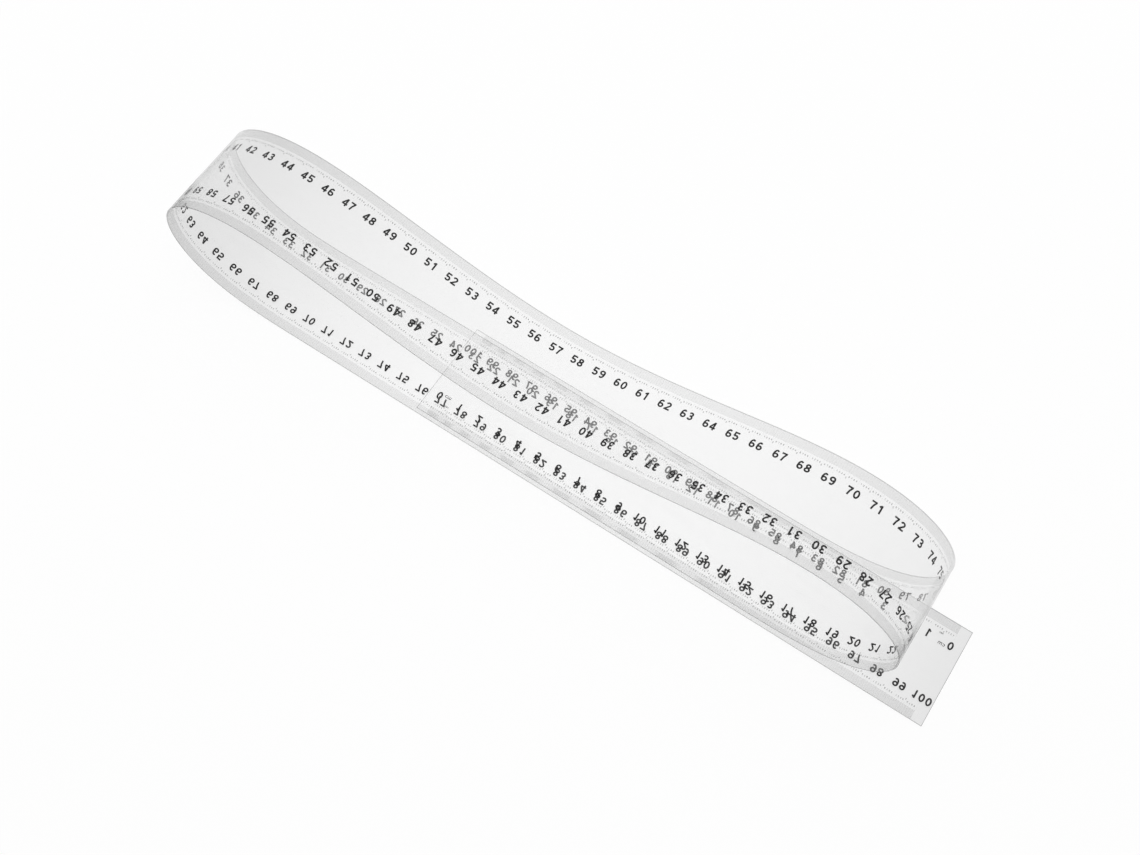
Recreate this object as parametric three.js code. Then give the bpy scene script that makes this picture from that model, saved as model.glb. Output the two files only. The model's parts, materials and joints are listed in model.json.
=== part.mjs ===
// Flexible clear plastic ruler, one metre long, loosely rolled into a flattened loop lying on a table.
// Lengths are in millimetres and turns in degrees. Z is up and the roll's axis lies along Y.
// The strip has coordinates of its own: place runs along it from the zero mark of the far scale,
// across runs over its width towards the far edge, and lift rises from mid thickness to the inner face.
import * as THREE from 'three';

// Strip
const scaleLength = 1000;
const endMargin = 5;
const stripWidth = 45;
const stripThickness = 0.6;

// Roll, made of three bends: left, sag and right. A bend is sharpest at its place and reaches along the
// strip both ways. The left and right bends part the strip into an outer, a top and an inner run. The top
// run is longer than the outer run by its extra, and the inner run is shorter by its shortfall.
const topRunExtra = 37;
const innerRunShortfall = 138.5;
const leftBendLeadIn = 72.5;
const leftBendRunOut = 138.5;
const sagReach = 89.5;
const rightBendLeadIn = 134;
const rightBendRunOut = 86.5;
const fallingSlope = 14.5;
const risingSlope = 16.5;
const layerGap = 0.4;
const sideDrift = 2;

// Printed lines on the inner face, one set along each long edge
const centimetrePitch = 10;
const linesPerCentimetre = 2;
const centimetreLineLength = 7;
const halfCentimetreLineLength = 5;
const lineWidth = 0.12;
const edgeInset = 0.1;
const inkThickness = 0.08;
const inkClearance = 0.05;

// Fineness of the flat facets that stand in for the smooth sheet
const facetsPerLinePitch = 2;
const facetTurn = 3;
const walkCount = 4000;

const halfWidth = stripWidth / 2;
const halfThickness = stripThickness / 2;
const stripStart = -endMargin;
const stripEnd = scaleLength + endMargin;
const runCount = 3;
const outerRunLength = (stripEnd - stripStart - topRunExtra + innerRunShortfall) / runCount;
const topRunLength = outerRunLength + topRunExtra;
const leftBendPlace = stripStart + outerRunLength;
const rightBendPlace = leftBendPlace + topRunLength;
const linePitch = centimetrePitch / linesPerCentimetre;
const facetStep = linePitch / facetsPerLinePitch;
const bendStart = leftBendPlace - leftBendLeadIn;
const bendEnd = rightBendPlace + rightBendRunOut;
const walkEnd = Math.max(stripEnd, bendEnd);
const walkStep = (walkEnd - stripStart) / walkCount;
const straightAngle = 180;

// Share of a bend's turn that is done at a place. Its curvature grows to the peak and fades again in
// two half cosine waves, so the sheet never kinks.
function bendShare(place, peak, leadIn, runOut) {
  const rise = THREE.MathUtils.clamp((place - peak) / leadIn, -1, 0);
  const fall = THREE.MathUtils.clamp((place - peak) / runOut, 0, 1);
  const before = leadIn * (rise + 1 + Math.sin(Math.PI * rise) / Math.PI);
  const after = runOut * (fall + Math.sin(Math.PI * fall) / Math.PI);
  return (before + after) / (leadIn + runOut);
}

// Direction in which the strip runs. It starts flat towards -X, turns over at the left, dips, rises and
// turns under at the right, and ends flat towards -X again after one whole turn.
function heading(place, sagPlace) {
  const leftShare = bendShare(place, leftBendPlace, leftBendLeadIn, leftBendRunOut);
  const sagShare = bendShare(place, sagPlace, sagReach, sagReach);
  const rightShare = bendShare(place, rightBendPlace, rightBendLeadIn, rightBendRunOut);
  const left = (straightAngle + fallingSlope) * leftShare;
  const sag = (fallingSlope + risingSlope) * sagShare;
  const right = (straightAngle + risingSlope) * rightShare;
  return straightAngle - left + sag - right;
}

// Walks along the strip in short straight steps.
function walk(sagPlace) {
  const points = [new THREE.Vector2(0, 0)];
  for (let step = 0; step < walkCount; step += 1) {
    const middle = stripStart + (step + 0.5) * walkStep;
    const turn = THREE.MathUtils.degToRad(heading(middle, sagPlace));
    const move = new THREE.Vector2(Math.cos(turn), Math.sin(turn)).multiplyScalar(walkStep);
    points.push(points[step].clone().add(move));
  }
  return points;
}

// The sag settles where the inner run comes down to lie one layer gap above the base run. Its place is
// found by halving the stretch between the bends until no number lies between the two ends.
function settledSagPlace() {
  let low = leftBendPlace;
  let high = rightBendPlace;
  let middle = (low + high) / 2;
  while (middle > low && middle < high) {
    const landingHeight = walk(middle)[walkCount].y;
    if (landingHeight > stripThickness + layerGap) low = middle;
    else high = middle;
    middle = (low + high) / 2;
  }
  return middle;
}

const sagPlace = settledSagPlace();
const pathPoints = walk(sagPlace);

// A line across the strip: where it crosses the middle of the sheet and which way the inner face looks.
function crossLine(place) {
  const index = Math.min(Math.floor((place - stripStart) / walkStep), walkCount - 1);
  const share = (place - stripStart) / walkStep - index;
  const middle = pathPoints[index].clone().lerp(pathPoints[index + 1], share);
  const turn = THREE.MathUtils.degToRad(heading(place, sagPlace));
  const inward = new THREE.Vector2(Math.sin(turn), -Math.cos(turn));
  return { place, middle, inward, drift: sideDrift * place / scaleLength };
}

// Facet edges lie midway between printed lines, so every line is printed on one flat facet. The flat
// runs are one facet each, and a new facet starts when the sheet has turned far enough.
function facetLines() {
  const firstIndex = Math.floor(bendStart / facetStep - 0.5);
  const lastIndex = Math.floor(Math.min(bendEnd + facetStep, stripEnd) / facetStep - 0.5);
  const places = [stripStart];
  for (let index = firstIndex; index <= lastIndex; index += 1) {
    const place = (index + 0.5) * facetStep;
    const turned = Math.abs(heading(place, sagPlace) - heading(places.at(-1), sagPlace));
    if (index === firstIndex || index === lastIndex || turned >= facetTurn) places.push(place);
  }
  places.push(stripEnd);
  return places.map(crossLine);
}

const lines = facetLines();

function pointOnLine(line, across, lift) {
  const { middle, inward, drift } = line;
  return new THREE.Vector3(middle.x + inward.x * lift, across + drift, middle.y + inward.y * lift);
}

// Brings a point of the flat strip to its place on the rolled strip's facets.
function rolled(place, across, lift) {
  const next = lines.findIndex((line, index) => index > 0 && place <= line.place);
  const [before, after] = [lines[next - 1], lines[next]];
  const share = (place - before.place) / (after.place - before.place);
  return pointOnLine(before, across, lift).lerp(pointOnLine(after, across, lift), share);
}

function meshFromTriangles(name, corners, material) {
  const geometry = new THREE.BufferGeometry().setFromPoints(corners);
  geometry.computeVertexNormals();
  const mesh = new THREE.Mesh(geometry, material);
  mesh.name = name;
  return mesh;
}

// The sheet: a rectangle across the strip at each facet edge, skinned from one to the next.
function clearStrip() {
  const rings = lines.map((line) => [
    pointOnLine(line, -halfWidth, -halfThickness),
    pointOnLine(line, halfWidth, -halfThickness),
    pointOnLine(line, halfWidth, halfThickness),
    pointOnLine(line, -halfWidth, halfThickness),
  ]);
  const corners = [];
  for (let index = 1; index < rings.length; index += 1) {
    const [ring, nextRing] = [rings[index - 1], rings[index]];
    for (let side = 0; side < ring.length; side += 1) {
      const nextSide = (side + 1) % ring.length;
      corners.push(ring[side], nextRing[side], nextRing[nextSide]);
      corners.push(ring[side], nextRing[nextSide], ring[nextSide]);
    }
  }
  const [start, end] = [rings[0], rings.at(-1)];
  corners.push(start[0], start[1], start[2], start[0], start[2], start[3]);
  corners.push(end[0], end[2], end[1], end[0], end[3], end[2]);
  const material = new THREE.MeshStandardMaterial({
    color: 0xf1f3f4, roughness: 0.12, metalness: 0, transparent: true, opacity: 0.35,
  });
  return meshFromTriangles('clear_strip', corners, material);
}

// Flat outline of one facet's share of the printed lines: a hairline along the strip's edge with a line
// standing in from it at each graduation. Depth is measured in from the edge.
function printedOutline(from, to) {
  const outline = [[from, 0], [from, lineWidth]];
  for (let index = Math.ceil(Math.max(from, 0) / linePitch); index * linePitch < to; index += 1) {
    const middle = index * linePitch;
    const isCentimetre = index % linesPerCentimetre === 0;
    const depth = isCentimetre ? centimetreLineLength : halfCentimetreLineLength;
    const [left, right] = [middle - lineWidth / 2, middle + lineWidth / 2];
    outline.push([left, lineWidth], [left, depth], [right, depth], [right, lineWidth]);
  }
  outline.push([to, lineWidth], [to, 0]);
  return outline;
}

// Printed lines along one edge: side is 1 at the far edge and -1 at the near edge.
function printedLines(name, side) {
  const [inkStart, inkEnd] = [-lineWidth, scaleLength + lineWidth];
  const lowLift = halfThickness + inkClearance;
  const highLift = lowLift + inkThickness;
  const inner = lines.map((line) => line.place).filter((place) => place > inkStart && place < inkEnd);
  const places = [inkStart, ...inner, inkEnd];
  const corners = [];
  for (let index = 1; index < places.length; index += 1) {
    const [from, to] = [places[index - 1], places[index]];
    const flat = printedOutline(from, to).map(([place, depth]) => {
      return new THREE.Vector2(place, side * (halfWidth - edgeInset - depth));
    });
    if (THREE.ShapeUtils.isClockWise(flat)) flat.reverse();
    const low = flat.map((point) => rolled(point.x, point.y, lowLift));
    const high = flat.map((point) => rolled(point.x, point.y, highLift));
    for (const [a, b, c] of THREE.ShapeUtils.triangulateShape(flat, [])) {
      corners.push(low[a], low[b], low[c], high[a], high[c], high[b]);
    }
    for (let here = 0; here < flat.length; here += 1) {
      const there = (here + 1) % flat.length;
      const isSeam = flat[here].x === flat[there].x && inner.includes(flat[here].x);
      if (isSeam) continue;
      corners.push(low[here], high[here], high[there], low[here], high[there], low[there]);
    }
  }
  const material = new THREE.MeshStandardMaterial({ color: 0x141414, roughness: 0.6, metalness: 0 });
  return meshFromTriangles(name, corners, material);
}

// The finished roll, standing on the plane Z = 0 with the middle of its footprint over the origin
function ruler() {
  const group = new THREE.Group();
  group.add(clearStrip(), printedLines('far_edge_scale', 1), printedLines('near_edge_scale', -1));
  const box = new THREE.Box3().setFromObject(group);
  const middle = box.getCenter(new THREE.Vector3());
  group.position.set(-middle.x, -middle.y, -box.min.z);
  return group;
}

export default ruler();
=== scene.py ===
# %% [markdown]
# # A clear ruler, rolled into a loop
#
# This lesson dresses a flexible one-metre ruler. The real thing is one strip of clear plastic with black
# printing on one face. It lies on a table, loosely rolled, so that one sees print through plastic through
# print. Everything is laid out flat first, as the printer did it, and is then rolled up along one path.

# %% Load the fixed frame
import json
import math

import bmesh
import bpy
import numpy as np
from mathutils import Matrix, Vector

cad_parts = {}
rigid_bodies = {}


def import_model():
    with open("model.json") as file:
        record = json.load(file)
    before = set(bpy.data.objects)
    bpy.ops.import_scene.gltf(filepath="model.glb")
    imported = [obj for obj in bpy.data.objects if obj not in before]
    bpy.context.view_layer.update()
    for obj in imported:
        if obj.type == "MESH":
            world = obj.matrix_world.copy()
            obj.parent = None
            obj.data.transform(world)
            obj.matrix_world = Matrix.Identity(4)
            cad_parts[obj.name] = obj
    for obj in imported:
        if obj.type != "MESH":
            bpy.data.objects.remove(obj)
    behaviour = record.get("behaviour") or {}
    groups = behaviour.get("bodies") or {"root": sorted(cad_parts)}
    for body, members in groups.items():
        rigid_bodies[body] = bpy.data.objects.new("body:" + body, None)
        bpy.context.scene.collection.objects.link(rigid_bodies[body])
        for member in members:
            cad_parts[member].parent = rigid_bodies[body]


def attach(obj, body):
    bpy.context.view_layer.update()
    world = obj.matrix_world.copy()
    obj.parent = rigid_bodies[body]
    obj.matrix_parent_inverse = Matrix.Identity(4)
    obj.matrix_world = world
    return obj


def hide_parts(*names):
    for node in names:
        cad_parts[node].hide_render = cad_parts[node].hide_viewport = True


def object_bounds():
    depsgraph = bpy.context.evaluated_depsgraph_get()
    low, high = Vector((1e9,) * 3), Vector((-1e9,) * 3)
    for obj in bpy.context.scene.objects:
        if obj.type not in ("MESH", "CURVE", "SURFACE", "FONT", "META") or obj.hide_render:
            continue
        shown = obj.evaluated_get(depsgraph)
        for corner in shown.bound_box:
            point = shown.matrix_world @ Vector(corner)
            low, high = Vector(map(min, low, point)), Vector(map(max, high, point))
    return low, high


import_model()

cad_low, cad_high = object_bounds()
print("frame box in mm:", [round(1000 * side, 2) for side in cad_high - cad_low])

# %% [markdown]
# ## The strip's own coordinates
#
# A point of the flat strip has three coordinates. Place runs along it from the zero mark of the far
# scale, across runs over its width, and lift rises from the middle of the sheet to the inner, printed
# face. All the sizes below are in metres, written as a number of millimetres.

# %% Sizes of the strip and of its roll
mm = 0.001
scale_length = 1000 * mm
end_margin = 5 * mm
strip_width = 45 * mm
strip_thickness = 0.6 * mm
top_run_extra = 37 * mm
inner_run_shortfall = 138.5 * mm
left_lead_in = 72.5 * mm
left_run_out = 138.5 * mm
sag_reach = 89.5 * mm
right_lead_in = 134 * mm
right_run_out = 86.5 * mm
falling_slope = math.radians(14.5)
rising_slope = math.radians(16.5)
layer_gap = 0.4 * mm
side_drift = 2 * mm

strip_start = -end_margin
strip_end = scale_length + end_margin
strip_length = strip_end - strip_start
run_count = 3
outer_run = (strip_length - top_run_extra + inner_run_shortfall) / run_count
left_place = strip_start + outer_run
right_place = left_place + outer_run + top_run_extra
walk_count = 4000
print("bends at", round(left_place / mm, 1), "and", round(right_place / mm, 1), "mm")

# %% [markdown]
# ## The path of the roll
#
# A springy sheet bends smoothly: its curvature grows and fades, and never jumps. It could be drawn by
# hand as a Bezier curve, but then its length would be a guess, and a ruler's length has to be true. So
# the path is walked in small steps of equal length, and a rule gives the heading of each step.

# %% The heading rule and the walk
def bend_share(place, peak, lead_in, run_out):
    """Share of a bend's turn that is done at a place: two half cosine waves of curvature."""
    rise = np.clip((place - peak) / lead_in, -1, 0)
    fall = np.clip((place - peak) / run_out, 0, 1)
    before = lead_in * (rise + 1 + np.sin(np.pi * rise) / np.pi)
    after = run_out * (fall + np.sin(np.pi * fall) / np.pi)
    return (before + after) / (lead_in + run_out)


def heading(place, sag_place):
    """Direction of travel in radians: flat to the left, over, down, up, under, flat to the left again."""
    left = (math.pi + falling_slope) * bend_share(place, left_place, left_lead_in, left_run_out)
    sag = (falling_slope + rising_slope) * bend_share(place, sag_place, sag_reach, sag_reach)
    right = (math.pi + rising_slope) * bend_share(place, right_place, right_lead_in, right_run_out)
    return math.pi - left + sag - right


def walk(sag_place):
    """Corners of the path in the X Z plane, one more than there are steps."""
    step = strip_length / walk_count
    middles = strip_start + (np.arange(walk_count) + 0.5) * step
    turn = heading(middles, sag_place)
    moves = np.stack([np.cos(turn), np.sin(turn)], axis=1) * step
    return np.vstack([np.zeros((1, 2)), np.cumsum(moves, axis=0)])


low, high = left_place, right_place
sag_place = (low + high) / 2
while low < sag_place < high:
    if walk(sag_place)[-1][1] > strip_thickness + layer_gap:
        low = sag_place
    else:
        high = sag_place
    sag_place = (low + high) / 2
path_points = walk(sag_place)
print("sag at", round(sag_place / mm, 2), "mm, inner end at", np.round(path_points[-1] / mm, 2), "mm")

# %% [markdown]
# ## The path as a curve
#
# Geometry Nodes can look up a point and a direction on a curve by the length travelled, so the walked
# points become a curve. Its base run lies on the table, and its first point, at the free end, lies
# furthest right in the frame. The strip also drifts a little sideways as it winds, by a drift rate.

# %% Set the path down in the frame and make it a curve
path_points[:, 0] += cad_high.x - path_points[0, 0]
path_points[:, 1] += cad_low.z + strip_thickness / 2
drift_rate = side_drift / scale_length
across_shift = cad_low.y + strip_width / 2 - strip_start * drift_rate
path_curve = bpy.data.curves.new("roll_path", "CURVE")
path_curve.dimensions = "3D"
spline = path_curve.splines.new("POLY")
spline.points.add(walk_count)
for point, (x, z) in zip(spline.points, path_points):
    point.co = (x, across_shift, z, 1)
roll_path = bpy.data.objects.new("roll_path", path_curve)
bpy.context.scene.collection.objects.link(roll_path)
path_width, path_height = np.ptp(path_points, axis=0) / mm
print("path spans", round(path_width, 1), "by", round(path_height, 1), "mm")

# %% [markdown]
# ## Small helpers for node trees
#
# Every tree below is built the same way, so three helpers do the repeated work: one opens a tree with
# named inputs, one adds a node and fills its sockets, and one adds a Math node. A socket gets either a
# number or another node's output.

# %% Helpers
def open_tree(name, sizes):
    """A Geometry Nodes tree with a geometry in, a geometry out and named inputs of the given kinds."""
    tree = bpy.data.node_groups.new(name, "GeometryNodeTree")
    tree.interface.new_socket("Geometry", in_out="INPUT", socket_type="NodeSocketGeometry")
    for size, kind in sizes.items():
        tree.interface.new_socket(size, in_out="INPUT", socket_type="NodeSocket" + kind)
    tree.interface.new_socket("Geometry", in_out="OUTPUT", socket_type="NodeSocketGeometry")
    return tree, tree.nodes.new("NodeGroupInput").outputs, tree.nodes.new("NodeGroupOutput").inputs


def add(tree, kind, sockets=None, **settings):
    """Adds a node and fills sockets by name or number. Returns the node's outputs."""
    node = tree.nodes.new(kind)
    for name, value in settings.items():
        setattr(node, name, value)
    for name, value in (sockets or {}).items():
        if isinstance(value, bpy.types.NodeSocket):
            tree.links.new(value, node.inputs[name])
        else:
            node.inputs[name].default_value = value
    return node.outputs


def maths(tree, operation, *values):
    """Adds a Math node and returns its result."""
    return add(tree, "ShaderNodeMath", dict(enumerate(values)), operation=operation)[0]


def run_tree(name, tree, **sizes):
    """Runs a tree on an empty object and returns what it makes as a plain mesh object."""
    maker = bpy.data.objects.new(name + "_maker", bpy.data.meshes.new(name + "_maker"))
    bpy.context.scene.collection.objects.link(maker)
    modifier = maker.modifiers.new("shape", "NODES")
    modifier.node_group = tree
    for item in tree.interface.items_tree:
        if item.in_out == "INPUT" and item.name in sizes:
            modifier[item.identifier] = sizes[item.name]
    bpy.context.view_layer.update()
    graph = bpy.context.evaluated_depsgraph_get()
    mesh = bpy.data.meshes.new_from_object(maker.evaluated_get(graph), depsgraph=graph)
    bpy.data.objects.remove(maker)
    mesh.name = name
    piece = bpy.data.objects.new(name, mesh)
    bpy.context.scene.collection.objects.link(piece)
    mesh.calc_loop_triangles()
    print(name, "has", len(mesh.loop_triangles), "triangles")
    return piece


# %% [markdown]
# ## Rolling up
#
# This tree takes anything laid out flat and lays it along the path. Each point's place is looked up as a
# length along the curve. Its across goes sideways and its lift goes along the inward normal, which is the
# sideways direction crossed with the tangent. Lift points inwards, so rolling turns a shape inside out,
# and Flip Faces sets that right.

# %% The rolling tree
roll_tree, roll_in, roll_out = open_tree("roll_up", {"Path": "Object"})
flat_point = add(roll_tree, "ShaderNodeSeparateXYZ", {0: add(roll_tree, "GeometryNodeInputPosition")[0]})
path = add(roll_tree, "GeometryNodeObjectInfo", {"Object": roll_in["Path"]})["Geometry"]
travelled = maths(roll_tree, "SUBTRACT", flat_point["X"], strip_start)
on_path = add(roll_tree, "GeometryNodeSampleCurve", {"Curves": path, "Length": travelled}, mode="LENGTH")
inward = add(
    roll_tree, "ShaderNodeVectorMath", {0: (0, 1, 0), 1: on_path["Tangent"]}, operation="CROSS_PRODUCT"
)[0]
raised = add(
    roll_tree, "ShaderNodeVectorMath", {0: inward, "Scale": flat_point["Z"]}, operation="SCALE"
)[0]
drifted = maths(roll_tree, "MULTIPLY_ADD", flat_point["X"], drift_rate, flat_point["Y"])
sideways = add(roll_tree, "ShaderNodeCombineXYZ", {"Y": drifted})[0]
lifted = add(roll_tree, "ShaderNodeVectorMath", {0: on_path["Position"], 1: raised}, operation="ADD")[0]
rolled = add(roll_tree, "ShaderNodeVectorMath", {0: lifted, 1: sideways}, operation="ADD")[0]
moved = add(roll_tree, "GeometryNodeSetPosition", {"Geometry": roll_in["Geometry"], "Position": rolled})[0]
turned = add(roll_tree, "GeometryNodeFlipFaces", {"Mesh": moved})[0]
roll_tree.links.new(turned, roll_out["Geometry"])


def roll_up(tree, flat_shape, path_socket):
    """Adds the rolling tree inside another tree."""
    node = tree.nodes.new("GeometryNodeGroup")
    node.node_tree = roll_tree
    tree.links.new(flat_shape, node.inputs["Geometry"])
    tree.links.new(path_socket, node.inputs["Path"])
    return node.outputs["Geometry"]


# %% [markdown]
# ## Small helpers for materials
#
# Each material is a node tree with one output. Its noise reads the flat strip's own map, so that grain,
# dust and scuffs follow the sheet round its bends and don't slide through it. Such noise lies mostly
# between two middling values, and those are spread over the two ends of a finish.

# %% Material helpers
def open_material(name):
    """A material whose tree holds nothing but its output."""
    material = bpy.data.materials.new(name)
    material.use_nodes = True
    tree = material.node_tree
    tree.nodes.clear()
    return material, tree, tree.nodes.new("ShaderNodeOutputMaterial").inputs["Surface"]


def ramp(tree, value, low_in, high_in, low_out, high_out):
    """Maps one range of values onto another."""
    return add(tree, "ShaderNodeMapRange", {0: value, 1: low_in, 2: high_in, 3: low_out, 4: high_out})[0]


def grey(tree, value):
    """A colour with the same value in red, green and blue."""
    return add(tree, "ShaderNodeCombineColor", {0: value, 1: value, 2: value})[0]


def object_axis(tree, axis):
    """How far a point lies along one axis of the frame."""
    return add(tree, "ShaderNodeSeparateXYZ", {0: add(tree, "ShaderNodeTexCoord")["Object"]})[axis]


def flat_place(tree):
    """Place and across of a point, in metres, from the flat strip's own map."""
    return add(tree, "ShaderNodeSeparateXYZ", {0: add(tree, "ShaderNodeUVMap", uv_map="strip_map")[0]})


def strip_noise(tree, along, over, detail):
    """Noise with so many grains a metre along the strip and over its width."""
    flat = add(tree, "ShaderNodeUVMap", uv_map="strip_map")[0]
    stretched = add(tree, "ShaderNodeMapping", {"Vector": flat, "Scale": (along, over, 1)})[0]
    return add(tree, "ShaderNodeTexNoise", {"Vector": stretched, "Scale": 1.0, "Detail": detail})[0]


noise_low, noise_high = 0.3, 0.7


def by_noise(tree, noise, low_out, high_out):
    """Spreads the middling values of a noise over the two ends of a finish."""
    return ramp(tree, noise, noise_low, noise_high, low_out, high_out)


# %% [markdown]
# ## Gloss
#
# Plastic mirrors little head on and nearly everything at a glancing angle. A Principled shader would do
# this too, but not over a shader that lets light straight through. So a gloss is mixed in by Schlick's
# rule, which is a fifth power of Layer Weight's facing. Scuffs make it rougher in patches and dent it a
# little.

# %% A scuffed gloss
gloss_floor, gloss_power = 0.025, 5.0
scuff_height = 0.1 * mm
scuffs_start, scuffs_full = 0.4, 0.7


def gloss_over(tree, below, height, smooth, scuffed, strength):
    """Lays a scuffed gloss over a shader, with more of it at a glancing angle."""
    dent = {"Strength": strength, "Distance": scuff_height, "Height": height}
    bump = add(tree, "ShaderNodeBump", dent)[0]
    facing = add(tree, "ShaderNodeLayerWeight", {"Blend": 0.5, "Normal": bump})["Facing"]
    grown = maths(tree, "POWER", facing, gloss_power)
    schlick = maths(tree, "MULTIPLY_ADD", grown, 1 - gloss_floor, gloss_floor)
    roughness = ramp(tree, height, scuffs_start, scuffs_full, smooth, scuffed)
    gloss = add(tree, "ShaderNodeBsdfAnisotropic", {"Roughness": roughness, "Normal": bump})[0]
    return add(tree, "ShaderNodeMixShader", {0: schlick, 1: below, 2: gloss})[0]


# %% [markdown]
# ## Clear film
#
# Thin clear plastic isn't modelled as heavy glass, because nothing is seen bent through half a
# millimetre. Light goes straight through each face by a Transparent shader, whose colour is the very
# little that the film takes. Towards the free end the film is a little darker, which is painted shade: the
# light is dimmer at that end of the table. The printed face is slightly hazy behind the print. Haze
# doesn't veil what touches it and veils what lies far behind it, so it grows with height over the table.
# Fine scuffs run along the strip, since it is pulled through a hand that way.

# %% Film of the outer and the inner face
clearness, haze_tone = 0.996, 0.88
# painted shade at the free end: how much darker the film gets there, and over how long a stretch
end_painted_shade, end_reach = 0.98, 45 * mm
raised_haze = 0.2
haze_start, haze_full = 5 * mm, 45 * mm
dust_along, dust_over, dust_detail, dusty_shade = 60, 200, 5.0, 0.995
scuffs_along, scuffs_over, scuffs_detail = 40, 2500, 6.0
smooth_film, scuffed_film, film_bump = 0.02, 0.08, 0.04


def film(name, is_printed_face):
    """Clear film with dust, scuffs and painted shade towards the free end, and with haze on the printed
    face.
    """
    material, tree, output = open_material(name)
    # painted shade: the film darkens towards the free end
    shaded_end = ramp(tree, flat_place(tree)["X"], strip_start, end_reach, end_painted_shade * clearness, clearness)
    dusty = by_noise(tree, strip_noise(tree, dust_along, dust_over, dust_detail), 1.0, dusty_shade)
    shade = maths(tree, "MULTIPLY", shaded_end, dusty)
    clear = add(tree, "ShaderNodeBsdfTransparent", {"Color": grey(tree, shade)})[0]
    if is_printed_face:
        haze = ramp(tree, object_axis(tree, "Z"), haze_start, haze_full, 0.0, raised_haze)
        milk = add(tree, "ShaderNodeBsdfTranslucent", {"Color": (haze_tone, haze_tone, haze_tone, 1)})[0]
        clear = add(tree, "ShaderNodeMixShader", {0: haze, 1: clear, 2: milk})[0]
    scuffs = strip_noise(tree, scuffs_along, scuffs_over, scuffs_detail)
    tree.links.new(gloss_over(tree, clear, scuffs, smooth_film, scuffed_film, film_bump), output)
    return material


outer_film = film("outer_film", False)
inner_film = film("inner_film", True)
print("films:", outer_film.name, "and", inner_film.name)

# %% [markdown]
# ## Cut edge
#
# A blade leaves a face that is a little rough, with a narrow bevel at each corner. The face is the same
# plastic seen the long way through, so it's only somewhat darker than the sheet. The bevels bend light
# away and show as a thin dark line all round. Real bending of light would need glass, so they are just
# darker.

# %% Cut face and bevel materials
marks_along, marks_over, marks_detail = 2500, 40, 3.0
cut_unevenness = 0.05
smooth_cut, rough_cut, cut_bump = 0.15, 0.4, 0.4
face_shade, bevel_shade = 0.82, 0.5


def cut_plastic(name, shade):
    """Plastic cut by a blade, with marks across the cut."""
    material, tree, output = open_material(name)
    blade_marks = strip_noise(tree, marks_along, marks_over, marks_detail)
    uneven = by_noise(tree, blade_marks, shade - cut_unevenness, shade + cut_unevenness)
    through = add(tree, "ShaderNodeBsdfTransparent", {"Color": grey(tree, uneven)})[0]
    tree.links.new(gloss_over(tree, through, blade_marks, smooth_cut, rough_cut, cut_bump), output)
    return material


cut_face = cut_plastic("cut_face", face_shade)
cut_bevel = cut_plastic("cut_bevel", bevel_shade)
print("cut materials:", cut_face.name, "and", cut_bevel.name)

# %% [markdown]
# ## Ink
#
# One flat black would do for the bold numerals from afar, but print is uneven up close, and fine print
# lets light through. Cover is the share of light that a printed plate holds back. A plate has two faces
# and light crosses both, so each face gets the square root of what the plate lets through. Solid is the
# part that is opaque pigment. It has hardly any shine of its own, because it lies under a clear coat.

# %% Ink helpers
grain, grain_detail = 3000, 3.0
pigment_dark, pigment_pale = 0.008, 0.02
pigment_smooth, pigment_rough = 0.45, 0.65
pigment_shine = 0.15
cover_swing = 0.15
worn_start, worn_full, worn_share = 0.35, 0.65, 0.9


def per_face(cover):
    """Share of light that one face of a plate holds back."""
    return 1 - math.sqrt(1 - cover)


def ink_body(tree, mottle):
    """Solid black pigment, slightly mottled."""
    return add(tree, "ShaderNodeBsdfPrincipled", {
        "Base Color": grey(tree, by_noise(tree, mottle, pigment_dark, pigment_pale)),
        "Roughness": by_noise(tree, mottle, pigment_smooth, pigment_rough),
        "Specular IOR Level": pigment_shine,
    })[0]


def ink(name, cover, solid=0.0, shades=()):
    """Black ink of this cover. Each shade is a rule that dims its thin part from place to place."""
    material, tree, output = open_material(name)
    mottle = strip_noise(tree, grain, grain, grain_detail)
    held = per_face(cover)
    thin = by_noise(tree, mottle, 1 - (1 + cover_swing) * held, 1 - (1 - cover_swing) * held)
    for shade in shades:
        thin = maths(tree, "MULTIPLY", thin, shade(tree))
    see_through = add(tree, "ShaderNodeBsdfTransparent", {"Color": grey(tree, thin)})[0]
    opaque = ramp(tree, mottle, worn_start, worn_full, solid, worn_share * solid)
    body = ink_body(tree, mottle)
    mixed = add(tree, "ShaderNodeMixShader", {0: opaque, 1: see_through, 2: body})[0]
    tree.links.new(mixed, output)
    return material


# %% [markdown]
# ## Streaks where two bands lie on each other
#
# Near its end the inner run lies on the base run, and there the two fine bands beat against each other in
# dark and light streaks. Thousands of real lines would do it too, but only in a far larger picture. The
# beats are closer together towards the end. The place of streak number n is taken as first + n * spacing
# + n * n * growth, and the number at a place is the root of that. The streaks are only where the bands
# overlap, which is about half of the inner run's band.

# %% Streak rule
streak_first, streak_spacing, streak_growth = 3.1 * mm, 6.5 * mm, 0.7 * mm
streak_reach = 140 * mm
overlap_near, overlap_far = -20.4 * mm, 20.5 * mm
streak_depth, wave_reach = 0.035, 0.5


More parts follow.
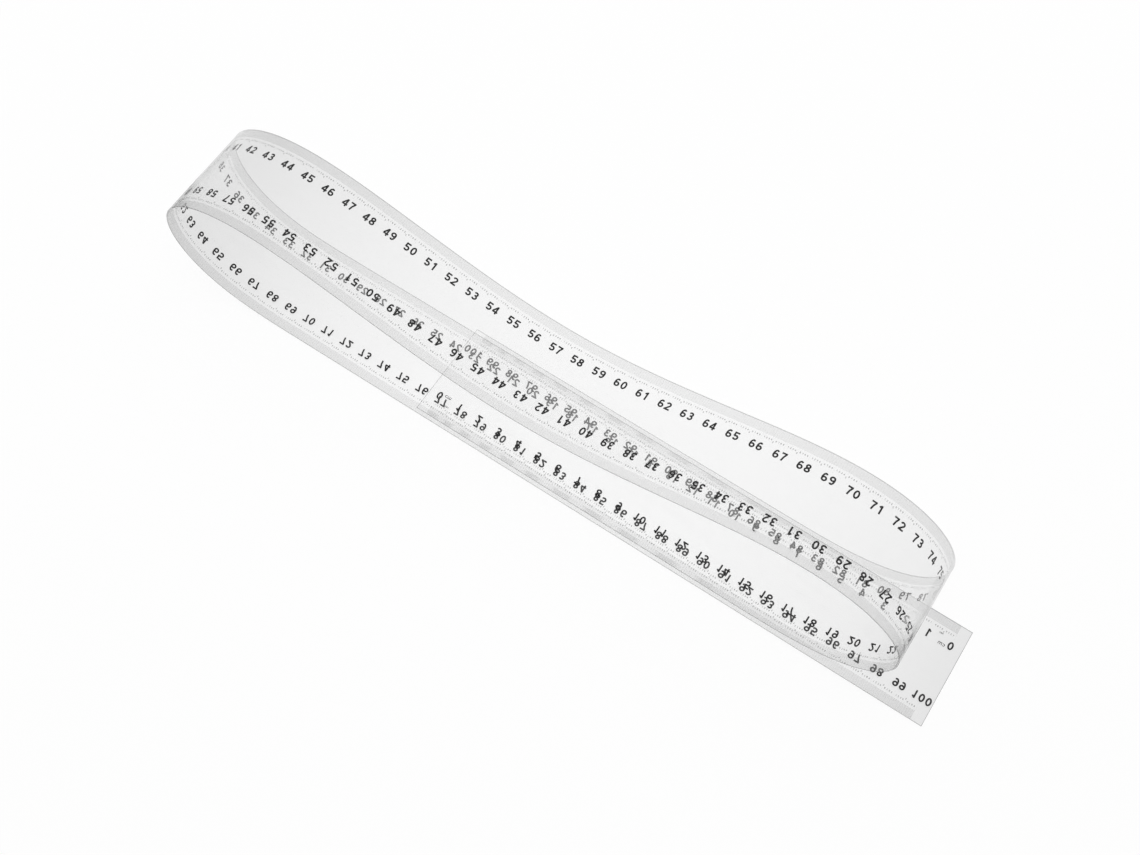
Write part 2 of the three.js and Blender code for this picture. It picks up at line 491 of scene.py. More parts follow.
def beat_streaks(tree):
    """Share of light let through by the beat of two bands: one away from the overlap."""
    flat = flat_place(tree)
    from_end = maths(tree, "SUBTRACT", scale_length, flat["X"])
    beyond_first = maths(tree, "MAXIMUM", maths(tree, "SUBTRACT", from_end, streak_first), 0.0)
    under_root = maths(tree, "MULTIPLY_ADD", beyond_first, 4 * streak_growth, streak_spacing**2)
    root = maths(tree, "SQRT", under_root)
    number = maths(tree, "DIVIDE", maths(tree, "SUBTRACT", root, streak_spacing), 2 * streak_growth)
    wave = maths(tree, "COSINE", maths(tree, "MULTIPLY", number, 2 * math.pi))
    swing = ramp(tree, wave, -wave_reach, wave_reach, streak_depth, -streak_depth)
    near_end = maths(tree, "LESS_THAN", from_end, streak_reach)
    over_near = maths(tree, "LESS_THAN", flat["Y"], overlap_near)
    over_far = maths(tree, "LESS_THAN", maths(tree, "ABSOLUTE", flat["Y"]), overlap_far)
    positive = maths(tree, "GREATER_THAN", flat["Y"], 0.0)
    over = maths(tree, "MAXIMUM", over_near, maths(tree, "MULTIPLY", over_far, positive))
    return maths(tree, "MULTIPLY_ADD", swing, maths(tree, "MULTIPLY", near_end, over), 1.0)


# %% [markdown]
# ## The pool of light
#
# The light on the photographed table is a pool, strongest a little right of the middle, and fine print is
# washed out most where most light falls. More lamps could make such a pool, but then the table round the
# ruler would be grey and not white. So the pool is a rule along the frame's X axis, a parabola. Here it
# gives the band's ink a little more cover towards the ends, and further below it tones the table under
# the sheet.

# %% The pool's rule and the four inks
pool_middle = 15 * mm
wash_reach, wash_depth = 180 * mm, 0.028


def by_pool(tree, reach, middle_value, rim_value):
    """One value in the middle of the pool and another at its reach, with a parabola between them."""
    away = maths(tree, "DIVIDE", maths(tree, "SUBTRACT", object_axis(tree, "X"), pool_middle), reach)
    return ramp(tree, maths(tree, "MULTIPLY", away, away), 0.0, 1.0, middle_value, rim_value)


def less_washed_out(tree):
    """Share of light let through by the band: one in the middle of the pool, and less towards the ends."""
    return by_pool(tree, wash_reach, 1.0, 1.0 - wash_depth)


bold_ink = ink("bold_ink", cover=0.9, solid=1.0)
small_ink = ink("small_ink", cover=0.85, solid=0.95)
line_ink = ink("line_ink", cover=0.08)
band_ink = ink("band_ink", cover=0.095, shades=(beat_streaks, less_washed_out))
print("materials:", [material.name for material in bpy.data.materials])

# %% [markdown]
# ## The strip
#
# The sheet is one long box, cut into short steps along its length only, because it bends only that way.
# Its sharp edges get a narrow bevel, as a blade leaves them, and in clear plastic the bevel shows as a
# dark line. A Bevel modifier would need to be told which edges are sharp. Instead the box has two more
# rows of corners along its sides and one more ring at each end than its form needs. The outermost ones
# are lowered, and the ones beside them are moved out to where the bevel starts. A ring is told by how far
# out it lies, with half a step to spare. The flat coordinates are stored as a UV map before rolling, so
# that dust and scuffs follow them.

# %% A long box in short steps
step_length = 1 * mm
bevel = 0.12 * mm
rows_over, rows_up = 4, 2
strip_tree, strip_in, strip_out = open_tree("strip", {
    "Path": "Object", "Length": "Float", "Width": "Float", "Thickness": "Float",
    "Bevel": "Float", "Step": "Float",
})
strip_size = add(
    strip_tree, "ShaderNodeCombineXYZ",
    {"X": strip_in["Length"], "Y": strip_in["Width"], "Z": strip_in["Thickness"]},
)[0]
step_count = maths(strip_tree, "DIVIDE", strip_in["Length"], strip_in["Step"])
ring_count = maths(strip_tree, "FLOOR", maths(strip_tree, "ADD", step_count, 1.5))
box = add(
    strip_tree, "GeometryNodeMeshCube",
    {"Size": strip_size, "Vertices X": ring_count, "Vertices Y": rows_over, "Vertices Z": rows_up},
)["Mesh"]
print("steps of", step_length / mm, "mm, bevels of", bevel / mm, "mm")

# %% Narrow bevels along its edges
half_length, half_width, half_thickness = [
    maths(strip_tree, "MULTIPLY", strip_in[side], 0.5) for side in ("Length", "Width", "Thickness")
]
corner = add(strip_tree, "ShaderNodeSeparateXYZ", {0: add(strip_tree, "GeometryNodeInputPosition")[0]})
out_along, out_over = [maths(strip_tree, "ABSOLUTE", corner[axis]) for axis in "XY"]
end_ring = maths(strip_tree, "MULTIPLY_ADD", strip_in["Step"], -0.5, half_length)
next_ring = maths(strip_tree, "MULTIPLY_ADD", strip_in["Step"], -1.5, half_length)
at_end = maths(strip_tree, "GREATER_THAN", out_along, end_ring)
at_side = maths(strip_tree, "GREATER_THAN", out_over, maths(strip_tree, "MULTIPLY", half_width, 0.5))
by_end = maths(strip_tree, "GREATER_THAN", out_along, next_ring)
bevel_start = maths(strip_tree, "SUBTRACT", half_length, strip_in["Bevel"])
bevel_end = maths(strip_tree, "MULTIPLY", by_end, bevel_start)
bevel_side = maths(strip_tree, "SUBTRACT", half_width, strip_in["Bevel"])
lowered = maths(strip_tree, "MULTIPLY", maths(strip_tree, "MAXIMUM", at_end, at_side), strip_in["Bevel"])
new_place = {
    "X": maths(strip_tree, "MAXIMUM", out_along, bevel_end),
    "Y": maths(strip_tree, "MAXIMUM", out_over, bevel_side),
    "Z": maths(strip_tree, "SUBTRACT", half_thickness, lowered),
}
for axis, distance in new_place.items():
    new_place[axis] = maths(strip_tree, "MULTIPLY", maths(strip_tree, "SIGN", corner[axis]), distance)
bevelled = add(
    strip_tree, "GeometryNodeSetPosition",
    {"Geometry": box, "Position": add(strip_tree, "ShaderNodeCombineXYZ", new_place)[0]},
)[0]
centred = add(
    strip_tree, "GeometryNodeTransform",
    {"Geometry": bevelled, "Translation": ((strip_start + strip_end) / 2, 0, 0)},
)[0]

# %% Map, material and rolling of the strip
def store_map(tree, flat_shape):
    """Keeps the flat place and across of every corner as a UV map."""
    return add(
        tree, "GeometryNodeStoreNamedAttribute",
        {"Geometry": flat_shape, "Name": "strip_map", "Value": add(tree, "GeometryNodeInputPosition")[0]},
        data_type="FLOAT2", domain="CORNER",
    )[0]


def cover_faces(tree, shape, faces, material):
    """Gives the chosen faces a material."""
    sockets = {"Geometry": shape, "Selection": faces, "Material": material}
    return add(tree, "GeometryNodeSetMaterial", sockets)[0]


flat_facing, bevel_facing = 0.99, 0.2
upward = add(strip_tree, "ShaderNodeSeparateXYZ", {0: add(strip_tree, "GeometryNodeInputNormal")[0]})["Z"]
is_inner = maths(strip_tree, "GREATER_THAN", upward, flat_facing)
is_outer = maths(strip_tree, "LESS_THAN", upward, -flat_facing)
tilt = maths(strip_tree, "ABSOLUTE", upward)
is_bevel = maths(strip_tree, "GREATER_THAN", tilt, bevel_facing)
cut = cover_faces(strip_tree, store_map(strip_tree, centred), True, cut_face)
bevels = cover_faces(strip_tree, cut, is_bevel, cut_bevel)
printed_side = cover_faces(strip_tree, bevels, is_inner, inner_film)
both_sides = cover_faces(strip_tree, printed_side, is_outer, outer_film)
is_film = maths(strip_tree, "MAXIMUM", is_inner, is_outer)
smoothed = add(
    strip_tree, "GeometryNodeSetShadeSmooth",
    {"Geometry": both_sides, "Selection": is_film, "Shade Smooth": True},
)[0]
strip_tree.links.new(roll_up(strip_tree, smoothed, strip_in["Path"]), strip_out["Geometry"])

strip = run_tree(
    "clear_sheet", strip_tree, Path=roll_path, Length=strip_length, Width=strip_width,
    Thickness=strip_thickness, Bevel=bevel, Step=step_length,
)

# %% [markdown]
# ## A print on each edge
#
# The two scales are the same print. The near one is turned half round about the middle of the strip, so
# that both read from their own edge. The print is taken to lie under a thin clear coat, which keeps it
# from rubbing off. So the ink is a thin closed plate just inside the printed face, and what is printed on
# the raised run stays crisp, since the haze of that face doesn't veil it. The band's plate lies a little
# deeper, because two plates in one place would flicker. The helpers below turn a flat print, keep its
# flat coordinates for the ink's grain, roll it up and ink it.

# %% Print layers and helpers
coat_thickness = 0.03 * mm
ink_thickness = 0.02 * mm
screen_gap, screen_thickness = 0.015 * mm, 0.01 * mm
ink_lift = strip_thickness / 2 - coat_thickness - ink_thickness
screen_lift = ink_lift - screen_gap - screen_thickness
print("ink lies", coat_thickness / mm, "mm under the printed face and is", ink_thickness / mm, "mm thick")


def finish_print(tree, instances, inputs, output, material):
    """The end of every print tree: real shapes, the right way round, rolled up and inked."""
    real = add(tree, "GeometryNodeRealizeInstances", {"Geometry": instances})[0]
    angle = maths(tree, "MULTIPLY", inputs["Turned"], math.pi)
    shift = maths(tree, "MULTIPLY", inputs["Turned"], scale_length)
    turned = add(tree, "GeometryNodeTransform", {
        "Geometry": real,
        "Rotation": add(tree, "ShaderNodeCombineXYZ", {"Z": angle})[0],
        "Translation": add(tree, "ShaderNodeCombineXYZ", {"X": shift})[0],
    })[0]
    rolled = roll_up(tree, store_map(tree, turned), inputs["Path"])
    tree.links.new(cover_faces(tree, rolled, True, material), output["Geometry"])


def print_both(what, tree, **sizes):
    """Runs a print tree for each edge, and returns the far edge's and the near edge's print."""
    return [
        run_tree(f"{edge}_edge_{what}", tree, Path=roll_path, Turned=turned, **sizes)
        for turned, edge in enumerate(("far", "near"))
    ]


# %% [markdown]
# ## The grey band
#
# Along each edge runs an even grey band, 4 mm wide, from print that is too fine to be told apart. It is a
# thin plate here and not thousands of lines, because a band that is finer than the picture's own grains
# would only shimmer. Its ink holds back about a tenth of the light, and a little more towards the ends of
# the roll.

# %% Make and roll the grey bands
band_inner, band_outer = 18.45 * mm, 22.4 * mm
band_tree, band_in, band_out = open_tree(
    "grey_band", {"Path": "Object", "Turned": "Int", "Length": "Float", "Width": "Float", "Steps": "Int"}
)
band_size = add(
    band_tree, "ShaderNodeCombineXYZ",
    {"X": band_in["Length"], "Y": band_in["Width"], "Z": screen_thickness},
)[0]
band = add(
    band_tree, "GeometryNodeMeshCube",
    {"Size": band_size, "Vertices X": band_in["Steps"], "Vertices Y": 2, "Vertices Z": 2},
)["Mesh"]
band_middle = (scale_length / 2, (band_inner + band_outer) / 2, screen_lift + screen_thickness / 2)
placed = add(band_tree, "GeometryNodeTransform", {"Geometry": band, "Translation": band_middle})[0]
finish_print(band_tree, placed, band_in, band_out, band_ink)
far_band, near_band = print_both(
    "grey_band", band_tree, Length=scale_length, Width=band_outer - band_inner,
    Steps=round(scale_length / step_length) + 1,
)

# %% [markdown]
# ## The printed lines
#
# There are a thousand and one lines along each edge. A Mesh Line makes a point for each millimetre, and a
# thin plate is instanced on each, longer at every fifth and at every tenth point. In the photograph the
# lines are too fine to stand out from the band, so their ink is faint.

# %% Make and roll the lines
line_pitch = 1 * mm
lines_to_half, lines_to_centimetre = 5, 10
centimetre = lines_to_centimetre * line_pitch
line_count = round(scale_length / line_pitch) + 1
line_width = 0.12 * mm
millimetre_line, half_centimetre_line, centimetre_line = 4 * mm, 5 * mm, 7 * mm
edge_inset = 0.1 * mm
lines_tree, lines_in, lines_out = open_tree(
    "printed_lines", {"Path": "Object", "Turned": "Int", "Width": "Float", "Count": "Int"}
)
index = add(lines_tree, "GeometryNodeInputIndex")[0]
at_five, at_ten = [
    maths(lines_tree, "COMPARE", maths(lines_tree, "MODULO", index, every), 0, 0.5)
    for every in (lines_to_half, lines_to_centimetre)
]
longer = maths(
    lines_tree, "MULTIPLY_ADD", at_five, half_centimetre_line - millimetre_line, millimetre_line
)
line_length = maths(lines_tree, "MULTIPLY_ADD", at_ten, centimetre_line - half_centimetre_line, longer)
half_line = maths(lines_tree, "MULTIPLY", line_length, 0.5)
spots = add(lines_tree, "ShaderNodeCombineXYZ", {
    "X": maths(lines_tree, "MULTIPLY", index, line_pitch),
    "Y": maths(lines_tree, "SUBTRACT", strip_width / 2 - edge_inset, half_line),
    "Z": ink_lift + ink_thickness / 2,
})[0]
points = add(lines_tree, "GeometryNodeMeshLine", {"Count": lines_in["Count"]})[0]
placed = add(lines_tree, "GeometryNodeSetPosition", {"Geometry": points, "Position": spots})[0]
line_size = add(
    lines_tree, "ShaderNodeCombineXYZ", {"X": lines_in["Width"], "Y": line_length, "Z": ink_thickness}
)[0]
block = add(lines_tree, "GeometryNodeMeshCube", {"Size": (1, 1, 1)})["Mesh"]
lines = add(
    lines_tree, "GeometryNodeInstanceOnPoints", {"Points": placed, "Instance": block, "Scale": line_size}
)[0]
finish_print(lines_tree, lines, lines_in, lines_out, line_ink)
far_lines, near_lines = print_both("lines", lines_tree, Width=line_width, Count=line_count)

# %% [markdown]
# ## Signs drawn with a pen
#
# The printed digits are plain bold ones, with a plain c and m for the units. Blender's own letters have
# other forms, so each sign is drawn here as pen strokes, in a box one unit high. A stroke is a list of
# points along the pen's way. Each sign becomes a thin closed plate, so the print is a shape, not a
# picture.

# %% Pen strokes of the signs
def bow(cx, cy, rx, ry, start, end, steps):
    """Points along part of an ellipse, from one angle to another in degrees."""
    angles = [math.radians(start + (end - start) * k / steps) for k in range(steps + 1)]
    return [(cx + rx * math.cos(a), cy + ry * math.sin(a)) for a in angles]


def digit_strokes(pen, steps):
    """Strokes of the digits 0 to 9 for a pen of this width. A ring is a stroke that closes."""
    edge, top, foot = 0.33 - pen / 2, 1 - pen / 2, pen / 2
    belly, brow = 0.31, 0.715
    low_rise, high_rise = belly - foot, top - brow
    hook = bow(0, 0.5, edge, 0.5 - foot, 180, 48, steps)
    six = [bow(0, belly, edge, low_rise, 0, 360, 2 * steps), [(-edge, belly)] + hook]
    return [
        [bow(0, 0.5, edge, 0.5 - foot, 0, 360, 2 * steps)],
        [[(0.06, 0), (0.06, 1)], [(0.05, 0.93), (-0.2, 0.73)]],
        [bow(0, 0.69, edge, top - 0.69, 165, -30, steps) + [(-edge, foot)], [(-0.33, foot), (0.33, foot)]],
        [
            bow(0, brow, edge - 0.03, high_rise, 158, -90, steps),
            bow(0, belly, edge, low_rise, 90, -158, steps),
            [(-0.1, 0.52), (0.02, 0.52)],
        ],
        [[(0.12, 0), (0.12, 1)], [(-0.33, 0.27), (0.33, 0.27)], [(0.09, 0.93), (-0.27, 0.3)]],
        [
            [(-0.2 - pen / 2, top), (0.27, top)],
            [(-0.2, top), (-0.23, 0.46)],
            bow(-0.01, 0.325, edge + 0.01, 0.325 - foot, 140, -155, steps),
        ],
        six,
        [[(-0.31, top), (0.3, top)], [(0.23, top), (0.04, 0.5), (-0.06, 0)]],
        [
            bow(0, brow + 0.01, edge - 0.035, high_rise - 0.01, 0, 360, 2 * steps),
            bow(0, 0.295, edge, 0.295 - foot, 0, 360, 2 * steps),
        ],
        [[(-x, 1 - y) for x, y in stroke] for stroke in six],
    ]


def unit_strokes(pen, steps):
    """Strokes of a small c and a small m, one unit high."""
    arch_rise = 0.3 - pen / 2
    return [
        [bow(0.03, 0.5, 0.42, 0.5 - pen / 2, 48, 312, 2 * steps)],
        [[(-0.6, 0), (-0.6, 1)]]
        + [bow(x, 0.7, 0.3, arch_rise, 180, 0, steps) + [(x + 0.3, 0)] for x in (-0.3, 0.3)],
    ]


# %% [markdown]
# ## From strokes to plates
#
# Each stroke becomes a ribbon as wide as the pen, with mitred corners, and is raised to a plate. A sign's
# strokes cross each other, and their walls would show inside the ink. A Mesh Boolean with Self
# Intersection joins them into one closed body, which is neater than working out the crossings by hand.

# %% Turn strokes into closed plates
mitre_limit = 0.5


def ribbon(stroke, pen):
    """Left and right side of a pen stroke, with mitred corners. Says too whether the stroke closes."""
    points = [Vector(point) for point in stroke]
    closes = (points[0] - points[-1]).length < pen / 100
    if closes:
        points.pop()
    sides = []
    for index, point in enumerate(points):
        before = points[index - 1] if index or closes else None
        after = points[(index + 1) % len(points)] if index + 1 < len(points) or closes else None
        into = (point - before).normalized() if before else (after - point).normalized()
        out = (after - point).normalized() if after else into
        normal = Vector((-into.y - out.y, into.x + out.x)).normalized()
        reach = pen / 2 / max(normal.dot(Vector((-into.y, into.x))), mitre_limit)
        sides.append((point + normal * reach, point - normal * reach))
    return sides, closes


def plate(name, strokes, pen):
    """Closed plates one unit thick, one for each stroke; where strokes cross, their walls still stand
    inside.
    """
    shape = bmesh.new()
    for stroke in strokes:
        sides, closes = ribbon(stroke, pen)
        rings = [
            [shape.verts.new((side.x, side.y, z)) for side, z in ((b, 0), (a, 0), (a, 1), (b, 1))]
            for a, b in sides
        ]
        pairs = list(zip(rings, rings[1:])) + ([(rings[-1], rings[0])] if closes else [])
        for ring, following in pairs:
            for k in range(4):
                n = (k + 1) % 4
                shape.faces.new((ring[k], following[k], following[n], ring[n]))
        if not closes:
            shape.faces.new(rings[0])
            shape.faces.new(list(reversed(rings[-1])))
    bmesh.ops.recalc_face_normals(shape, faces=shape.faces)
    mesh = bpy.data.meshes.new(name)
    shape.to_mesh(mesh)
    shape.free()
    return bpy.data.objects.new(name, mesh)


# %% Join the strokes of each sign
same_plane = math.radians(0.5)
merge_tree, merge_in, merge_out = open_tree("merge_strokes", {})
merged = add(
    merge_tree, "GeometryNodeMeshBoolean", {"Mesh 2": merge_in["Geometry"], "Self Intersection": True},
    operation="UNION", solver="EXACT",
)["Mesh"]
merge_tree.links.new(merged, merge_out["Geometry"])


def merge_strokes(piece):
    """Joins the crossing strokes of a plate into one body."""
    modifier = piece.modifiers.new("merge", "NODES")
    modifier.node_group = merge_tree
    bpy.context.view_layer.update()
    graph = bpy.context.evaluated_depsgraph_get()
    whole = bpy.data.meshes.new_from_object(piece.evaluated_get(graph), depsgraph=graph)
    piece.modifiers.clear()
    piece.data = whole
    shape = bmesh.new()
    shape.from_mesh(whole)
    bmesh.ops.dissolve_limit(shape, angle_limit=same_plane, verts=shape.verts, edges=shape.edges)
    open_edges = sum(not edge.is_manifold for edge in shape.edges)
    faces = len(shape.faces)
    shape.to_mesh(whole)
    shape.free()
    return faces, open_edges


def sign_set(name, signs, pen):
    """A collection of signs, in order."""
    collection = bpy.data.collections.new(name)
    bpy.context.scene.collection.children.link(collection)
    counts = []
    for number, strokes in enumerate(signs):
        piece = plate(f"{name}_{number}", strokes, pen)
        collection.objects.link(piece)
        counts.append(merge_strokes(piece))
    print(name, "faces and open edges of each sign:", counts)
    return collection


bold_pen, small_pen, unit_pen = 0.195, 0.12, 0.2
bold_steps, small_steps, unit_steps = 8, 5, 6
bold_digits = sign_set("bold_digit", digit_strokes(bold_pen, bold_steps), bold_pen)
small_digits = sign_set("small_digit", digit_strokes(small_pen, small_steps), small_pen)
unit_letters = sign_set("unit_letter", unit_strokes(unit_pen, unit_steps), unit_pen)

# %% [markdown]
# ## The numerals
#
# A numeral of one, two or three digits is centred on its line. Column 0 holds the units, 1 the tens and 2
# the hundreds. A column's digit is the number, divided by that power of ten, modulo ten, and it is left
# out where the number is too small. So one loop over the columns prints every numeral.

# %% Make and roll the numerals
numeral_height = 3.6 * mm
numeral_middle = 12.5 * mm
digit_pitch = 3 * mm
numeral_count = round(scale_length / centimetre) + 1
column_count = 3


def signs_on(tree, points, which, chosen, signs, width, height):
    """Instances of a sign set on points: which sign, and on which of the points."""
    separate = add(tree, "GeometryNodeCollectionInfo", {"Collection": signs, "Separate Children": True})[0]
    return add(tree, "GeometryNodeInstanceOnPoints", {
        "Points": points, "Selection": chosen, "Instance": separate, "Pick Instance": True,
        "Instance Index": which, "Scale": (width, height, ink_thickness),
    })[0]


numerals_tree, numerals_in, numerals_out = open_tree(
    "numerals", {"Path": "Object", "Turned": "Int", "Count": "Int"}
)
number = add(numerals_tree, "GeometryNodeInputIndex")[0]
has_tens = maths(numerals_tree, "GREATER_THAN", number, 9.5)
has_hundreds = maths(numerals_tree, "GREATER_THAN", number, 99.5)
extra_digits = maths(numerals_tree, "ADD", has_tens, has_hundreds)
all_columns = numerals_tree.nodes.new("GeometryNodeJoinGeometry")
for column in range(column_count):
    shifted = maths(numerals_tree, "FLOOR", maths(numerals_tree, "DIVIDE", number, 10**column))
    digit = maths(numerals_tree, "MODULO", shifted, 10)
    shown = maths(numerals_tree, "GREATER_THAN", extra_digits, column - 0.5)
    from_middle = maths(numerals_tree, "MULTIPLY_ADD", extra_digits, 0.5, -column)
    beside = maths(numerals_tree, "MULTIPLY", from_middle, digit_pitch)
    spots = add(numerals_tree, "ShaderNodeCombineXYZ", {
        "X": maths(numerals_tree, "MULTIPLY_ADD", number, centimetre, beside),
        "Y": numeral_middle - numeral_height / 2,
        "Z": ink_lift,
    })[0]
    points = add(numerals_tree, "GeometryNodeMeshLine", {"Count": numerals_in["Count"]})[0]
    placed = add(numerals_tree, "GeometryNodeSetPosition", {"Geometry": points, "Position": spots})[0]
    digits = signs_on(numerals_tree, placed, digit, shown, bold_digits, numeral_height, numeral_height)
    numerals_tree.links.new(digits, all_columns.inputs[0])
finish_print(numerals_tree, all_columns.outputs[0], numerals_in, numerals_out, bold_ink)
far_numerals, near_numerals = print_both("numerals", numerals_tree, Count=numeral_count)

# %% [markdown]
# ## The small digits
#
# Every millimetre line has its own tiny digit, 1 to 9, and the 5 stands lower, where its line is longer.
# A digit's number is the line's number modulo ten, and nothing is printed where that is 0.

# %% Make and roll the small digits
small_width, small_height = 0.66 * mm, 0.7 * mm
small_middle = 17.02 * mm
five_drop = 0.8 * mm
small_tree, small_in, small_out = open_tree(
    "small_digits", {"Path": "Object", "Turned": "Int", "Count": "Int"}
)
index = add(small_tree, "GeometryNodeInputIndex")[0]
last_digit = maths(small_tree, "MODULO", index, lines_to_centimetre)
is_five = maths(small_tree, "COMPARE", last_digit, lines_to_half, 0.5)
spots = add(small_tree, "ShaderNodeCombineXYZ", {
    "X": maths(small_tree, "MULTIPLY", index, line_pitch),
    "Y": maths(small_tree, "MULTIPLY_ADD", is_five, -five_drop, small_middle - small_height / 2),
    "Z": ink_lift,
})[0]
points = add(small_tree, "GeometryNodeMeshLine", {"Count": small_in["Count"]})[0]
placed = add(small_tree, "GeometryNodeSetPosition", {"Geometry": points, "Position": spots})[0]
shown = maths(small_tree, "GREATER_THAN", last_digit, 0.5)
digits = signs_on(small_tree, placed, last_digit, shown, small_digits, small_width, small_height)
finish_print(small_tree, digits, small_in, small_out, small_ink)
far_small, near_small = print_both("small_digits", small_tree, Count=line_count)

# %% [markdown]
# ## The unit signs
#
# After the 0 stands a small cm on the numerals' foot line, and below the first small digits a tiny mm.
# Both are two points in a row, with a letter on each. Without a link, Instance Index counts the points,
# so the second sign has a node that always says m.

# %% Make and roll the unit signs
cm_height, cm_pitch = 1.2 * mm, 1.55 * mm
cm_place = 2.6 * mm
mm_height, mm_pitch = 0.6 * mm, 0.85 * mm
mm_place, mm_across = 5.1 * mm, 15.0 * mm
units_tree, units_in, units_out = open_tree("unit_signs", {"Path": "Object", "Turned": "Int"})
letter = add(units_tree, "GeometryNodeInputIndex")[0]
always_m = add(units_tree, "FunctionNodeInputInt", integer=1)[0]
words = units_tree.nodes.new("GeometryNodeJoinGeometry")
for which, start, pitch, height in (
    (letter, (cm_place, numeral_middle - numeral_height / 2, ink_lift), cm_pitch, cm_height),
    (always_m, (mm_place, mm_across, ink_lift), mm_pitch, mm_height),
):
    points = add(
        units_tree, "GeometryNodeMeshLine", {"Count": 2, "Start Location": start, "Offset": (pitch, 0, 0)}
    )[0]
    word = signs_on(units_tree, points, which, True, unit_letters, height, height)
    units_tree.links.new(word, words.inputs[0])
finish_print(units_tree, words.outputs[0], units_in, units_out, bold_ink)
far_units, near_units = print_both("unit_signs", units_tree)

# %% [markdown]
# ## Clear away
#
# The signs and the path only helped to make the print, and whatever stays in the scene counts as a piece
# of the ruler. So they are deleted.

# %% Clear away what only helped
for collection in (bold_digits, small_digits, unit_letters):
    for helper in list(collection.objects):
        bpy.data.objects.remove(helper)
    bpy.data.collections.remove(collection)
bpy.data.objects.remove(roll_path)

# %% [markdown]
# ## Riding on the frame
#
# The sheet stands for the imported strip, and each edge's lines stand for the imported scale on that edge.
# The other prints ride along with them.

# %% Tie the pieces to the frame
prints = [
    far_band, near_band, far_lines, near_lines, far_numerals, near_numerals,
    far_small, near_small, far_units, near_units,
]
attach(strip, "root")
for piece in prints:
    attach(piece, "root")
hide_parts("clear_strip")
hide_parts("far_edge_scale")
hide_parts("near_edge_scale")
print("riding on root:", 1 + len(prints), "pieces")

# %% [markdown]
# ## Table
#
# The ruler lies on a plain table, cut out to white all round it. The sheet still shows the uneven light
# of the real table. So for the camera, for reflections and for glass the table is mostly pure white, and
# a small share of it keeps the ruler's shadow. That share fades with distance, so that table and backdrop
# meet unseen. Through the sheet the table has the tone of the pool of light instead, which depends on the
# place on the table and not on where the camera stands.

# %% Ground
ground_gap = 0.1 * mm
ground_half = 4.0
ground_mesh = bpy.data.meshes.new("ground")
ends = ((-1, -1), (1, -1), (1, 1), (-1, 1))
corners = [(x * ground_half, y * ground_half, -ground_gap) for x, y in ends]
ground_mesh.from_pydata(corners, [], [(0, 1, 2, 3)])
ground = bpy.data.objects.new("ground", ground_mesh)
bpy.context.scene.collection.objects.link(ground)
print("table is", 2 * ground_half, "m wide and lies", ground_gap / mm, "mm below the sheet")

# %% What is white, what is toned and what keeps the shadow
def seen_directly(tree):
    """One for what the camera, a reflection or glass shows, and nought for light on its way."""
    rays = add(tree, "ShaderNodeLightPath")
    mirrored = maths(tree, "MAXIMUM", rays["Is Glossy Ray"], rays["Is Transmission Ray"])
    return maths(tree, "MAXIMUM", rays["Is Camera Ray"], mirrored)


pool_reach = 210 * mm
pool_tone, pool_rim_tone = 0.993, 0.77


def tone_through_film(tree):
    """One for the bare table. Seen through the sheet, the table keeps the photograph's pool of light."""
    rays = add(tree, "ShaderNodeLightPath")
    through = maths(tree, "GREATER_THAN", rays["Transparent Depth"], 0.5)
    seen_through = maths(tree, "MULTIPLY", rays["Is Camera Ray"], through)
    pool = by_pool(tree, pool_reach, pool_tone, pool_rim_tone)
    return add(tree, "ShaderNodeMix", {0: seen_through, 2: 1.0, 3: pool})[0]


shadow_share = 0.15
shadow_full, shadow_gone = 250 * mm, 900 * mm


def shadow_near_ruler(tree):
    """Share of the table that keeps the shadow: none far away, so that table and backdrop meet unseen."""
    spot = add(tree, "ShaderNodeTexCoord")["Object"]
    distance = add(tree, "ShaderNodeVectorMath", {0: spot}, operation="LENGTH")["Value"]
    return ramp(tree, distance, shadow_full, shadow_gone, shadow_share, 0.0)


# %% Paper of the table
paper_tone = 0.97
paper, tree, output = open_material("ground_paper")
tone = tone_through_film(tree)
lit_tone = maths(tree, "MULTIPLY", tone, paper_tone)
lit = add(tree, "ShaderNodeBsdfDiffuse", {"Color": grey(tree, lit_tone)})[0]
white = add(tree, "ShaderNodeEmission", {"Color": grey(tree, tone), "Strength": 1.0})[0]
without_shadow = maths(tree, "SUBTRACT", 1.0, shadow_near_ruler(tree))
white_share = maths(tree, "MULTIPLY", seen_directly(tree), without_shadow)
tree.links.new(add(tree, "ShaderNodeMixShader", {0: white_share, 1: lit, 2: white})[0], output)
paper.cycles.emission_sampling = "NONE"
ground_mesh.materials.append(paper)
print("shadow is kept to", shadow_full / mm, "mm and gone at", shadow_gone / mm, "mm")

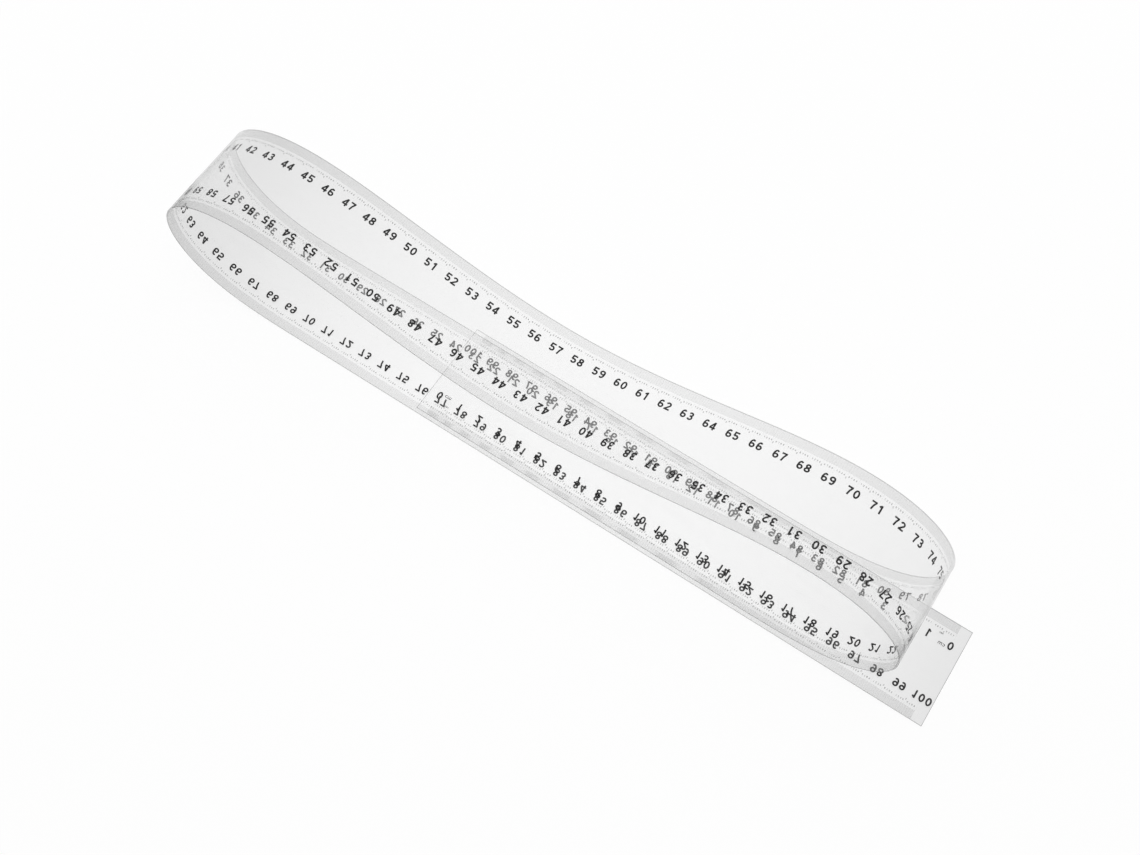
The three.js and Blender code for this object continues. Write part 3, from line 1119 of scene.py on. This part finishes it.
# %% [markdown]
# ## Light
#
# Print that floats over a table under a small lamp would throw a second, blurred print on it. One wide
# soft lamp and an even sky keep that faint. The sky is white where it is seen or mirrored, and weaker as
# a light. The lamp isn't mirrored, because its edge would draw bright panes on the film.

# %% Sky and lamp
sky_strength = 0.5
world = bpy.data.worlds.new("soft_room")
world.use_nodes = True
tree = world.node_tree
strength = ramp(tree, seen_directly(tree), 0.0, 1.0, sky_strength, 1.0)
tree.links.new(strength, tree.nodes["Background"].inputs["Strength"])
tree.nodes["Background"].inputs["Color"].default_value = (1, 1, 1, 1)
bpy.context.scene.world = world

lamp_size, lamp_power = 2.0, 19.0
lamp_place = Vector((-0.2, 0.3, 1.6))
lamp = bpy.data.lights.new("overhead", "AREA")
lamp.size = lamp_size
lamp.energy = lamp_power
overhead = bpy.data.objects.new("overhead", lamp)
overhead.visible_glossy = False
overhead.location = lamp_place
overhead.rotation_euler = (-lamp_place).to_track_quat("-Z", "Y").to_euler()
bpy.context.scene.collection.objects.link(overhead)
print("lamp of", lamp_power, "W,", round(lamp_place.length, 2), "m away")

# %% [markdown]
# ## Camera
#
# The camera looks at the ruler as the photograph does. Its place, its roll and its lens come from one fit
# together with the curve of the strip, and the printed centimetres gave the scale. A ray here goes
# through many clear layers, and each one counts as a transparent bounce, so their limit is raised.

# %% Camera
camera_place = Vector((122.99, -210.74, 557.30)) * mm
camera_target = Vector((-0.63, 7.33, 0)) * mm
camera_roll = math.radians(3.878)
lens_in_millimetres = 45.71
transparent_limit = 48
camera_data = bpy.data.cameras.new("camera")
camera_data.lens = lens_in_millimetres
camera = bpy.data.objects.new("camera", camera_data)
bpy.context.scene.collection.objects.link(camera)
look = (camera_target - camera_place).to_track_quat("-Z", "Y").to_matrix().to_4x4()
camera.matrix_world = Matrix.Translation(camera_place) @ look @ Matrix.Rotation(camera_roll, 4, "Z")
bpy.context.scene.camera = camera
bpy.context.scene.view_settings.view_transform = "Standard"
bpy.context.scene.cycles.transparent_max_bounces = transparent_limit
print("camera is", round((camera_target - camera_place).length / mm), "mm away")
